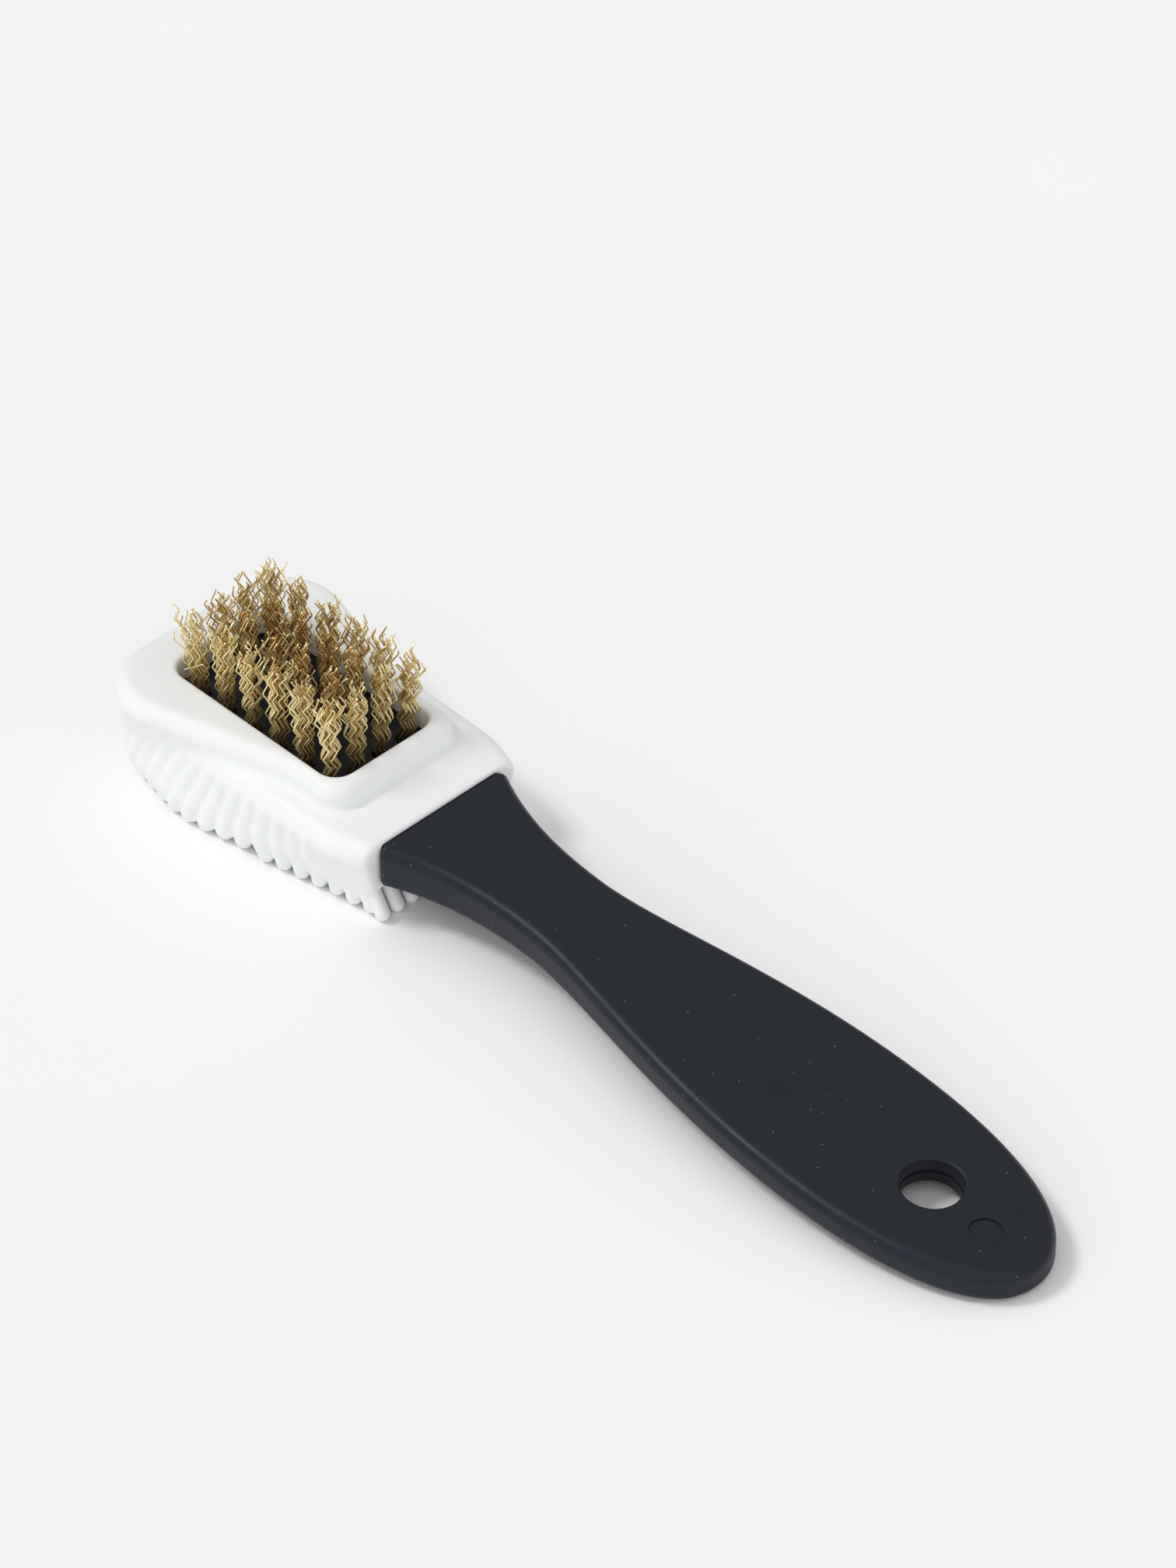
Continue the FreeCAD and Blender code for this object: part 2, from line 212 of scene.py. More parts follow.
# Crimps of a wire; corner and phase are shares of the period, turns are in radians
crimp_period = 3.5 * MM
crimp_swing = 0.43 * MM
crimp_corner = 0.07
crimp_sharpness = 0.98
crimp_root_swing = 0.3
crimp_growth = 5.0
crimp_turn = math.radians(45.0)
crimp_turn_spread = math.radians(14.0)
wire_turn_spread = 0.1
wire_phase_spread = 0.025
turned_wire_chances = (0.0, 0.0, 0.04, 0.3)

# Tone of a wire, from 0 for dull to 1 for bright; besides a random spread it holds painted shade,
# darker for the inner tufts and the middle wires of every tuft, lighter for the edge tufts and outer
# wires
edge_tuft_painted_light = 0.45
inner_tuft_painted_shade = 0.05
outer_wire_painted_light = 0.9
wire_shine_spread = 0.25

# Colours and surface marks
charcoal_deep = (0.0140, 0.0160, 0.0215)
charcoal_pale = (0.0165, 0.0187, 0.0246)
charcoal_gleam = (0.80, 0.88, 1.0)
dust_grey = (0.15, 0.15, 0.16)
rubber_shade = (0.885, 0.902, 0.910)
rubber_white = (0.905, 0.920, 0.927)
# Wire colours from dull to bright; the dull end also paints the shade of the inner tufts and middle
# wires
brass_dull_and_shaded = (0.46, 0.21, 0.040)
brass_bright = (1.0, 0.86, 0.46)
# Colour of the painted shade on the wire roots, where the window rim and the dark tang shade them
brass_root_shade = (0.17, 0.08, 0.02)
steel_dark = (0.42, 0.42, 0.43)
steel_pale = (0.56, 0.56, 0.57)
paper_shade = (0.955, 0.955, 0.955)
paper_white = (0.965, 0.965, 0.965)
drift_low = 0.3
drift_high = 0.7
speck_scale = 520.0
speck_core = 0.04
speck_edge = 0.09
speck_none = 0.55
speck_full = 0.62
speck_cover = 0.8
# Painted shade on the wire roots: how dark at most, and the heights above the tang top where it is
# full and where it has faded out
root_shade_cover = 0.75
root_shade_start = 0.5 * MM
root_shade_end = 4.2 * MM

# Light: walls that fade towards the azimuth of a dim gap, a roof and a soft sun
gap_azimuth = 146.0
gap_core = 0.95
gap_light = 0.27
wall_light = 0.97
roof_light = 0.76
roof_start = 0.55
roof_full = 0.9
sun_light = 1.03
sun_spread = 15.0
sun_from = (-0.5, -0.36, 0.79)

# Floor and camera
floor_half = 3.0
camera_lens = 151.7
camera_sensor = 36.0
camera_clip = 0.01
camera_target = Vector((-21.17, 19.95, 10.0)) * MM
camera_place = Vector((472.15, -462.78, 618.75)) * MM

# Places worked out from the sizes
tail_x = handle_high.x
mouth_x = tail_x - handle_length
tang_half_width = mouth_half_width - tang_step
tang_top = mouth_top_height - tang_step
tang_bottom = mouth_underside_height + tang_step
tang_middle = (tang_top + tang_bottom) / 2.0
tang_room = (tang_top - tang_bottom) / 2.0 + boot_fit
boot_underside = tang_bottom - boot_fit - boot_floor
finger_root_height = boot_underside + boot_floor / 2.0
window_middle = mouth_x - window_from_mouth - window_length / 2.0
tuft_row_pitch = (window_width - 2.0 * tuft_edge_room) / (tuft_rows - 1)
tuft_column_pitch = (window_length - 2.0 * tuft_end_room) / (tuft_columns - 1)
handle_slope = (mouth_top_height - tail_top_height) / handle_length
wire_top = cad_box[1].z - wire_top_room


# Meshes and outlines

def mesh_object(name, points, faces):
    """New object in the scene from points and faces."""
    mesh = bpy.data.meshes.new(name)
    mesh.from_pydata([tuple(point) for point in points], [], faces)
    mesh.update()
    made = bpy.data.objects.new(name, mesh)
    bpy.context.scene.collection.objects.link(made)
    return made


def smooth_faces(made):
    """Shade every face of an object smooth."""
    faces = made.data.polygons
    faces.foreach_set("use_smooth", [True] * len(faces))


def keep_result(made):
    """Replace an object's mesh by what its modifiers make of it."""
    shown = made.evaluated_get(bpy.context.evaluated_depsgraph_get())
    mesh = bpy.data.meshes.new_from_object(shown)
    old = made.data
    made.modifiers.clear()
    made.data = mesh
    bpy.data.meshes.remove(old)


def combine(made, other, operation):
    """Join or cut a closed mesh by another one, which is used up."""
    step = made.modifiers.new(operation, "BOOLEAN")
    step.operation = operation
    step.solver = "MANIFOLD"
    step.object = other
    keep_result(made)
    bpy.data.objects.remove(other)


def stacked_rings(rings):
    """Points and faces of a closed skin through rings of equally many points, capped at both ends."""
    count = len(rings[0])
    points = [point for ring in rings for point in ring]
    faces = []
    for level in range(len(rings) - 1):
        low = level * count
        for k in range(count):
            after = (k + 1) % count
            faces.append((low + k, low + after, low + count + after, low + count + k))
    faces.append(tuple(range(count))[::-1])
    faces.append(tuple(range(len(points) - count, len(points))))
    return points, faces


def circle(radius, height, sides):
    """Level ring of points round the Z axis."""
    turns = [2.0 * math.pi * k / sides for k in range(sides)]
    return [Vector((radius * math.cos(a), radius * math.sin(a), height)) for a in turns]


def quarter_round(radius, steps):
    """Inset and rise of a rounded edge, from the upright wall to the flat face."""
    turns = [math.pi / 2.0 * k / steps for k in range(steps + 1)]
    return [(radius * (1.0 - math.cos(a)), radius * math.sin(a)) for a in turns]


def rounded_loop(half_corners, half_radii):
    """Closed outline, mirrored about y = 0, of straight runs and round corners."""
    corners = [Vector(corner) for corner in half_corners]
    corners += [Vector((x, -y)) for x, y in reversed(half_corners)]
    radii = half_radii + half_radii[::-1]
    loop = []
    for index, corner in enumerate(corners):
        before = (corners[index - 1] - corner).normalized()
        after = (corners[(index + 1) % len(corners)] - corner).normalized()
        half_angle = before.angle(after) / 2.0
        middle = corner + (before + after).normalized() * (radii[index] / math.sin(half_angle))
        reach = radii[index] / math.tan(half_angle)
        start = corner + before * reach - middle
        turn = start.angle_signed(corner + after * reach - middle)
        for k in range(corner_steps + 1):
            a = -turn * k / corner_steps
            spoke = Vector((
                start.x * math.cos(a) - start.y * math.sin(a),
                start.x * math.sin(a) + start.y * math.cos(a),
            ))
            loop.append(middle + spoke)
    return loop


def lifted(height):
    """Upward step."""
    return Vector((0.0, 0.0, height))


def from_middle(index, count):
    """Place in a row of things, from -1 for the first to 1 for the last."""
    return 2.0 * index / (count - 1) - 1.0


# Handle

def cubic(poles, t):
    """Point and direction of a cubic curve."""
    a, b, c, d = poles
    s = 1.0 - t
    point = a * s**3 + b * (3.0 * s * s * t) + c * (3.0 * s * t * t) + d * t**3
    way = (b - a) * (s * s) + (c - b) * (2.0 * s * t) + (d - c) * (t * t)
    return point, way.normalized()


def mouth_corner(edge, way):
    """Rounded corner from the mouth face to a point on the handle's edge, with the inward steps."""
    corner = edge - way * ((edge.x - mouth_x) / way.x)
    reach = (edge - corner).length
    half_angle = Vector((0.0, -1.0)).angle(way) / 2.0
    radius = reach * math.tan(half_angle)
    middle = Vector((mouth_x + radius, corner.y - reach))
    end_step = Vector((mouth_end_round, -1.0))
    edge_step = Vector((way.y, -way.x))
    rounding = []
    for k in range(round_steps):
        turn = (math.pi - 2.0 * half_angle) * k / round_steps
        spoke = Vector((-math.cos(turn), math.sin(turn))) * radius
        rounding.append((middle + spoke, end_step.lerp(edge_step, k / round_steps)))
    return rounding


def handle_plan():
    """Points of one side of the handle from mouth to tail, each with the inward step of its edge."""
    mouth = Vector((mouth_x, mouth_half_width))
    neck = Vector((mouth_x + neck_from_mouth, neck_half_width))
    belly = Vector((mouth_x + belly_from_mouth, belly_half_width))
    tip = Vector((tail_x, 0.0))
    third = neck_from_mouth / 3.0
    flare = mouth + Vector((third, -mouth_flare_slope * third))
    curves = [
        (mouth, flare, neck - Vector((third, 0.0)), neck),
        (neck, neck + Vector((neck_run, 0.0)), belly - Vector((belly_run, 0.0)), belly),
        (belly, belly + Vector((tail_run, 0.0)), tip + Vector((0.0, tail_fullness)), tip),
    ]
    corner_share = mouth_corner_run / neck_from_mouth
    plan = mouth_corner(*cubic(curves[0], corner_share))
    for index, poles in enumerate(curves):
        first = 0.0 if index else corner_share
        for k in range(1 if index else 0, plan_steps + 1):
            point, way = cubic(poles, first + (1.0 - first) * k / plan_steps)
            plan.append((point, Vector((way.y, -way.x))))
    plan[-1] = (tip, Vector((-1.0, 0.0)))
    return plan


def handle_top(x):
    """Height of the flat, sloping top face."""
    return mouth_top_height - (x - mouth_x) * handle_slope


def handle_underside(x):
    """Height of the underside, bowed from the mouth to the foot of the tail."""
    share = min(1.0, (x - mouth_x) / (handle_length - handle_bottom_round))
    return mouth_underside_height * (1.0 - share) + 4.0 * underside_bow * share * (1.0 - share)


def handle_ring(plan, inset, height):
    """One level of the handle: along its right side from mouth to tail and back on the left."""
    left = [point + inward * inset for point, inward in plan]
    right = [Vector((point.x, -point.y)) for point in left]
    return [Vector((point.x, point.y, height(point.x))) for point in right + left[-2::-1]]


def handle_grip():
    """Grip of the handle with rounded edges, its top and underside laid in strips across."""
    plan = handle_plan()
    rings = []
    for inset, rise in reversed(quarter_round(handle_bottom_round, round_steps)):
        lift = handle_bottom_round - rise
        rings.append(handle_ring(plan, inset, lambda x: handle_underside(x) + lift))
    for inset, rise in quarter_round(handle_top_round, round_steps):
        drop = handle_top_round - rise
        rings.append(handle_ring(plan, inset, lambda x: handle_top(x) - drop))
    points, faces = stacked_rings(rings)
    count = len(rings[0])
    faces = faces[:-2]
    top = len(points) - count
    for k in range(len(plan) - 1):
        across = [k, k + 1, count - 2 - k, count - 1 - k]
        if k == len(plan) - 2:
            across.pop(2)
        faces.append(tuple(top + index for index in across))
        faces.append(tuple(across[::-1]))
    return mesh_object("moulded_handle", points, faces)


def tang_block():
    """Block at the head of the handle that the tufts are set in, with round corners."""
    root_x = mouth_x + tang_root
    corners = [(tang_far_x, tang_half_width), (root_x, tang_half_width)]
    loop = rounded_loop(corners, [tang_corner, tang_mouth_corner])
    rings = [[Vector((x, y, z)) for x, y in reversed(loop)] for z in (tang_bottom, tang_top)]
    points, faces = stacked_rings(rings)
    return mesh_object("tang_block", points, faces)


def tilted_cutter(name, x, y, profile):
    """Closed round cutter, square to the handle's top face; profile is (radius, height) pairs."""
    tilt = Matrix.Rotation(math.atan(handle_slope), 4, "Y")
    place = Vector((x, y, handle_top(x)))
    rings = []
    for radius, height in profile:
        ring = circle(radius, height, cutter_sides)
        rings.append([place + tilt @ point for point in ring])
    points, faces = stacked_rings(rings)
    return mesh_object(name, points, faces)


def hang_hole_cutter():
    """Cutter for the hanging hole: chamfered below, grooved half way up and rounded at the top."""
    x = tail_x - hang_hole_from_tail
    thickness = handle_top(x) - handle_underside(x)
    groove_radius = hang_hole_radius + hang_hole_groove
    groove_low = (-thickness - hang_hole_groove_height) / 2.0
    groove_high = groove_low + hang_hole_groove_height
    profile = [
        (hang_hole_radius + 2.0 * hang_hole_edge, -thickness - hang_hole_edge),
        (hang_hole_radius, -thickness + hang_hole_edge),
        (hang_hole_radius, groove_low),
        (groove_radius, groove_low),
        (groove_radius, groove_high),
        (hang_hole_radius, groove_high),
    ]
    for inset, rise in quarter_round(hang_hole_edge, round_steps):
        profile.append((hang_hole_radius + inset, rise - hang_hole_edge))
    profile.append((hang_hole_radius + hang_hole_edge, hang_hole_edge))
    return tilted_cutter("hang_hole", x, 0.0, profile)


def pin_mark_cutter():
    """Cutter for the shallow round mark that a pin of the mould left near the tail."""
    profile = [(pin_mark_radius, -pin_mark_depth), (pin_mark_radius, pin_mark_depth)]
    return tilted_cutter("pin_mark", tail_x - pin_mark_from_tail, pin_mark_side, profile)


def tuft_places():
    """Row, column and place of every tuft on the tang."""
    for row in range(tuft_rows):
        for column in range(tuft_columns):
            x = window_middle + (column - (tuft_columns - 1) / 2.0) * tuft_column_pitch
            y = (row - (tuft_rows - 1) / 2.0) * tuft_row_pitch
            yield row, column, Vector((x, y, tang_top))


def tuft_hole_cutter():
    """Cutter for all the holes that the tufts are set in."""
    points = []
    faces = []
    for _, _, place in tuft_places():
        rings = []
        for height in (-tuft_hole_depth, tuft_hole_depth):
            ring = circle(tuft_hole_radius, height, tuft_hole_sides)
            rings.append([place + point for point in ring])
        more, skin = stacked_rings(rings)
        faces += [tuple(index + len(points) for index in face) for face in skin]
        points += more
    return mesh_object("tuft_holes", points, faces)


def make_handle():
    """Moulded handle with its tang, hanging hole, pin mark and tuft holes."""
    handle = handle_grip()
    combine(handle, tang_block(), "UNION")
    for make_cutter in (hang_hole_cutter, pin_mark_cutter, tuft_hole_cutter):
        combine(handle, make_cutter(), "DIFFERENCE")
    smooth_faces(handle)
    handle.data.set_sharp_from_angle(angle=math.radians(handle_sharp_angle))
    even = handle.modifiers.new("even_faces", "WEIGHTED_NORMAL")
    even.keep_sharp = True
    keep_result(handle)
    return handle


# Boot: one skin round a field of distances, so that ribs, fingers and walls run into each other

def boot_loop(first_corners, last_corners, rounds, share):
    """Outline of the boot at a share of the way from one row of corners to another."""
    corners = []
    for (x0, y0), (x1, y1) in zip(first_corners, last_corners):
        x = mouth_x - (x0 + (x1 - x0) * share) * MM
        y = (y0 + (y1 - y0) * share) * MM
        corners.append((x, y))
    return rounded_loop(corners, [radius * MM for radius in rounds])


def skirt_loop(share):
    """Boot outline below its frame: share 0 on the crease, share 1 on the fingertips."""
    return boot_loop(skirt_crease_corners, skirt_tip_corners, skirt_corner_rounds, share)


def frame_loop(share):
    """Outline of the frame round the window: share 0 at its rim, share 1 where it meets the skirt."""
    return boot_loop(frame_rim_corners, frame_foot_corners, frame_corner_rounds, share)


def window_loop():
    """Outline of the bristle window."""
    half_length = window_length / 2.0
    half_width = window_width / 2.0
    corners = [(window_middle - half_length, half_width), (window_middle + half_length, half_width)]
    return rounded_loop(corners, [window_corner, window_corner])


def flank_path(loop):
    """Half of a closed outline, from the middle of the far end along the +Y side to the mouth."""
    return [(loop[0] + loop[-1]) / 2.0] + loop[:len(loop) // 2]


def walk(path, distance):
    """Place at a distance along a path."""
    for before, after in zip(path, path[1:]):
        length = (after - before).length
        if distance <= length and length:
            return before.lerp(after, distance / length)
        distance -= length
    return path[-1]


def distance_to(path, x):
    """Distance along a path at which it first comes to x."""
    passed = 0.0
    for before, after in zip(path, path[1:]):
        if before.x < x <= after.x:
            return passed + (after - before).length * (x - before.x) / (after.x - before.x)
        passed += (after - before).length
    return passed


def outline_distance(loop, xs, ys):
    """Distance of every place of a level grid from an outline, negative inside it."""
    px = xs[:, None]
    py = ys[None, :]
    nearest = np.full((len(xs), len(ys)), np.inf)
    inside = np.zeros((len(xs), len(ys)), bool)
    for (ax, ay), (bx, by) in zip(loop, loop[1:] + loop[:1]):
        ex = bx - ax
        ey = by - ay
        square = ex * ex + ey * ey
        if square < shortest_run**2:
            continue
        along = np.clip(((px - ax) * ex + (py - ay) * ey) / square, 0.0, 1.0)
        apart = (px - ax - along * ex) ** 2 + (py - ay - along * ey) ** 2
        nearest = np.minimum(nearest, apart)
        if ay != by:
            inside ^= ((ay > py) != (by > py)) & (px < ex * (py - ay) / ey + ax)
    return np.where(inside, -1.0, 1.0) * np.sqrt(nearest)


def soft_union(one, other, blend):
    """Both bodies, with a hollow fillet about as wide as blend where they meet."""
    share = np.clip(0.5 + 0.5 * (other - one) / blend, 0.0, 1.0)
    return other + (one - other) * share - blend * share * (1.0 - share)


def rounded_top(side, height, top, radius):
    """Body within an outline and below a top face, with a rounded edge between them."""
    out = np.maximum(side + radius, 0.0)
    over = np.maximum(height - top + radius, 0.0)
    deep = np.minimum(np.maximum(side, height - top) + radius, 0.0)
    return np.sqrt(out**2 + over**2) + deep - radius


class BootField:
    """Distances from the boot's skin on a grid of small cubes."""

    def __init__(self):
        margin = field_margin_cubes * boot_voxel
        room = Vector((margin, margin, margin))
        self.low = boot_low - room
        size = boot_high - boot_low + room * 2.0
        lines = []
        for axis in range(3):
            count = int(size[axis] / boot_voxel) + 1
            lines.append(self.low[axis] + boot_voxel * np.arange(count))
        self.xs, self.ys, self.zs = lines
        self.height = self.zs[None, None, :]
        self.values = soft_union(self.skirt(), self.window_frame(), frame_blend)

    def outline(self, loop):
        """Distance from an outline, the same at every height."""
        return outline_distance([tuple(point) for point in loop], self.xs, self.ys)[:, :, None]

    def skirt(self):
        """Hollow skirt with its rounded collar, open below and towards the mouth."""
        down = np.clip((crease_height - self.height) / (crease_height - hem_height), 0.0, 1.0)
        hem_share = 1.0 - hem_height / crease_height
        crease = self.outline(skirt_loop(0.0))
        side = crease + (self.outline(skirt_loop(hem_share)) - crease) * down
        skirt = rounded_top(side, self.height, crease_height + collar_round, collar_round)
        skirt = np.maximum(skirt, hem_height - self.height)
        under = self.height - boot_underside
        pocket = np.maximum(side + hem_thickness, under)
        front = np.maximum(mouth_x - hem_from_mouth - self.xs[:, None, None], under)
        return np.maximum(skirt, -np.minimum(pocket, front))

    def window_frame(self):
        """Flared frame round the window, which rises from the skirt to a rounded rim."""
        rim_start = rim_height - rim_round
        down = np.clip((rim_start - self.height) / (rim_start - frame_foot_height), 0.0, 1.0)
        rim = self.outline(frame_loop(0.0))
        side = rim + (self.outline(frame_loop(1.0)) - rim) * down
        wall = rounded_top(side, self.height, rim_height, rim_round)
        return np.maximum(wall, frame_foot_height - self.height)

    def add_finger(self, spots, blend):
        """Round finger through (centre, radius) spots, blended into what is there."""
        margin = max(radius for centre, radius in spots) + blend + finger_margin_cubes * boot_voxel
        window = []
        for axis, grid in enumerate((self.xs, self.ys, self.zs)):
            places = [centre[axis] for centre, radius in spots]
            first = int(np.searchsorted(grid, min(places) - margin))
            last = int(np.searchsorted(grid, max(places) + margin))
            window.append(slice(first, last))
        px = self.xs[window[0]][:, None, None]
        py = self.ys[window[1]][None, :, None]
        pz = self.zs[window[2]][None, None, :]
        finger = np.inf
        for (start, start_radius), (end, end_radius) in zip(spots, spots[1:]):
            way = end - start
            along = (px - start.x) * way.x + (py - start.y) * way.y + (pz - start.z) * way.z
            along = np.clip(along / way.length_squared, 0.0, 1.0)
            apart = (px - start.x - along * way.x) ** 2 + (py - start.y - along * way.y) ** 2
            apart = apart + (pz - start.z - along * way.z) ** 2
            radius = start_radius + along * (end_radius - start_radius)
            finger = np.minimum(finger, np.sqrt(apart) - radius)
        here = tuple(window)
        self.values[here] = soft_union(self.values[here], finger, blend)

    def cut_soft(self, cutter, blend):
        """Take a body away, with edges rounded by about blend."""
        self.values = -soft_union(-self.values, cutter, blend)

    def cut_sharp(self, cutter):
        """Take a body away, with crisp edges."""
        self.values = np.maximum(self.values, -cutter)

    def skin(self, name):
        """Mesh of the skin."""
        grid = openvdb.FloatGrid(1.0)
        grid.copyFromArray((self.values / boot_voxel).astype(np.float32))
        points, quads = grid.convertToQuads()
        places = points.astype(float) * boot_voxel + np.array(self.low)
        return mesh_object(name, places, [tuple(int(index) for index in quad) for quad in quads])


def boot_ribs(field):
    """Ribs that start in points on the crease, swell and fan out downwards, and end on the floor.

    The first few on each side, counted from the mouth, end higher up the wall.
    The last one stands alone in the middle of the far end.
    """
    stations = (
        (0.0, rib_top_radius),
        (rib_middle_share, rib_middle_radius),
        (rib_swell_share, rib_swell_radius),
        (1.0, rib_foot_radius),
    )
    for k in range(ribs_on_side + 1):
        share = k / ribs_on_side
        reach = 1.0 - rib_front_lift * max(0.0, 1.0 - k / ribs_lifted)
        for side in ((1.0, -1.0) if k < ribs_on_side else (1.0,)):
            spots = []
            for down, radius in stations:
                drop = down * reach
                path = flank_path(skirt_loop(drop))
                along = 1.0 - share - rib_fan * math.sin(math.pi * share) * drop
                spot = walk(path, distance_to(path, rib_front_x) * along)
                height = rib_top_height + (rib_foot_radius - rib_top_height) * drop
                inset = rib_top_radius + (rib_inset - rib_top_radius) * drop
                inward = Vector((window_middle - spot.x, -side * spot.y, 0.0)).normalized()
                spots.append((Vector((spot.x, side * spot.y, height)) + inward * inset, radius))
            field.add_finger(spots, rib_blend)


def field_fingers(field):
    """Rows of fingers under the boot, which lean out from its middle."""
    edge = [tuple(point) for point in skirt_loop(1.0)]
    middle = Vector((mouth_x - finger_middle_from_mouth, 0.0))
    for row in range(-finger_rows_each_way, finger_rows_each_way + 1):
        for column in range(-finger_columns_each_way, finger_columns_each_way + 1):
            foot = middle + Vector((row * finger_pitch, column * finger_pitch))
            from_edge = outline_distance(edge, np.array([foot.x]), np.array([foot.y]))[0, 0]
            if from_edge > -finger_edge_room:
                continue
            start = middle + (foot - middle) * finger_root_share
            root = Vector((start.x, start.y, finger_root_height))
            tip = Vector((foot.x, foot.y, finger_radius))
            field.add_finger([(root, finger_radius), (tip, finger_radius)], finger_blend)


def edge_fingers(field):
    """Fingers along both lower edges, from among the first ribs to the mouth."""
    path = flank_path(skirt_loop(1.0))
    start = distance_to(path, rib_front_x - edge_finger_overlap)
    end = distance_to(path, mouth_x - finger_radius)
    count = int((end - start) / finger_pitch)
    for k in range(count + 1):
        foot = walk(path, start + (end - start) * k / count)
        for side in (1.0, -1.0):
            root = Vector((foot.x - edge_finger_lean, side * foot.y, finger_root_height))
            tip = Vector((foot.x, side * foot.y, edge_finger_radius))
            spots = [(root, edge_finger_radius), (tip, edge_finger_radius)]
            field.add_finger(spots, edge_finger_blend)


def mouth_fingers(field):
    """Row of fingers below the mouth, which lean out past it."""
    for k in range(mouth_finger_count):
        y = mouth_finger_half * from_middle(k, mouth_finger_count)
        root = Vector((mouth_x - mouth_finger_root, y * mouth_finger_root_share, finger_root_height))
        tip = Vector((boot_high.x - finger_radius, y, finger_radius))
        field.add_finger([(root, finger_radius), (tip, finger_radius)], finger_blend)


def tang_space(field):
    """Room inside the boot for the tang."""
    half_width = tang_half_width + boot_fit
    corners = [(tang_far_x - boot_fit, half_width), (mouth_x + tang_root + boot_fit, half_width)]
    loop = rounded_loop(corners, [tang_corner + boot_fit, tang_mouth_corner + boot_fit])
    return np.maximum(field.outline(loop), np.abs(field.height - tang_middle) - tang_room)


def make_boot():
    """White rubber boot, with its ribs and fingers, the bristle window and the room for the tang."""
    field = BootField()
    boot_ribs(field)
    field.cut_soft(mouth_x - field.xs[:, None, None], mouth_edge_blend)
    field_fingers(field)
    edge_fingers(field)
    mouth_fingers(field)
    window = np.maximum(field.outline(window_loop()), tang_bottom - field.height)
    field.cut_soft(window, window_edge_blend)
    field.cut_sharp(tang_space(field))
    field.cut_sharp(field.height)
    boot = field.skin("ribbed_rubber_boot")
    smooth_faces(boot)
    return boot


# Tufts

def crimp(along):
    """Sideways swing of a crimped wire, from -1 to 1, with softened corners."""
    swing = math.asin(crimp_sharpness * math.sin(2.0 * math.pi * along))
    return swing / math.asin(crimp_sharpness)


def wire_line(foot, tip, way, phase, curl):
    """Centre line of one crimped wire and the way square to its crimps.

    The line has points only at its ends and round its corners, which lie half a period apart, a
    quarter of a period from where the wire crosses its own middle.
    """
    along = tip - foot
    waves = along.length / crimp_period
    places = [0.0]
    for corner in range(int(2.0 * (waves + phase)) + 1):
        middle = corner / 2.0 + 0.25 - phase
        places += [middle - crimp_corner, middle, middle + crimp_corner]
    places = [spot for spot in places if 0.0 <= spot < waves] + [waves]
    line = []
    for spot in places:
        share = spot / waves
        swing = crimp_swing * crimp(spot + phase)
        swing *= min(1.0, crimp_root_swing + share * crimp_growth)
        line.append(foot + along * share + way * swing + curl * share**tip_curl_power)
    return line, along.cross(way).normalized()


def add_wire(points, faces, tones, line, flat, tone):
    """Thin round bar along a line, added to the lists of one tuft."""
    first = len(points)
    for k, spot in enumerate(line):
        way = (line[min(k + 1, len(line) - 1)] - line[max(k - 1, 0)]).normalized()
        other = way.cross(flat).normalized()
        for n in range(wire_sides):
            turn = 2.0 * math.pi * n / wire_sides
            points.append(spot + (flat * math.cos(turn) + other * math.sin(turn)) * wire_radius)
            tones.append(tone)
    for k in range(len(line) - 1):
        low = first + k * wire_sides
        for n in range(wire_sides):
            after = (n + 1) % wire_sides
            faces.append((low + n, low + after, low + wire_sides + after, low + wire_sides + n))
    faces.append(tuple(first + n for n in range(wire_sides))[::-1])
    faces.append(tuple(len(points) - wire_sides + n for n in range(wire_sides)))


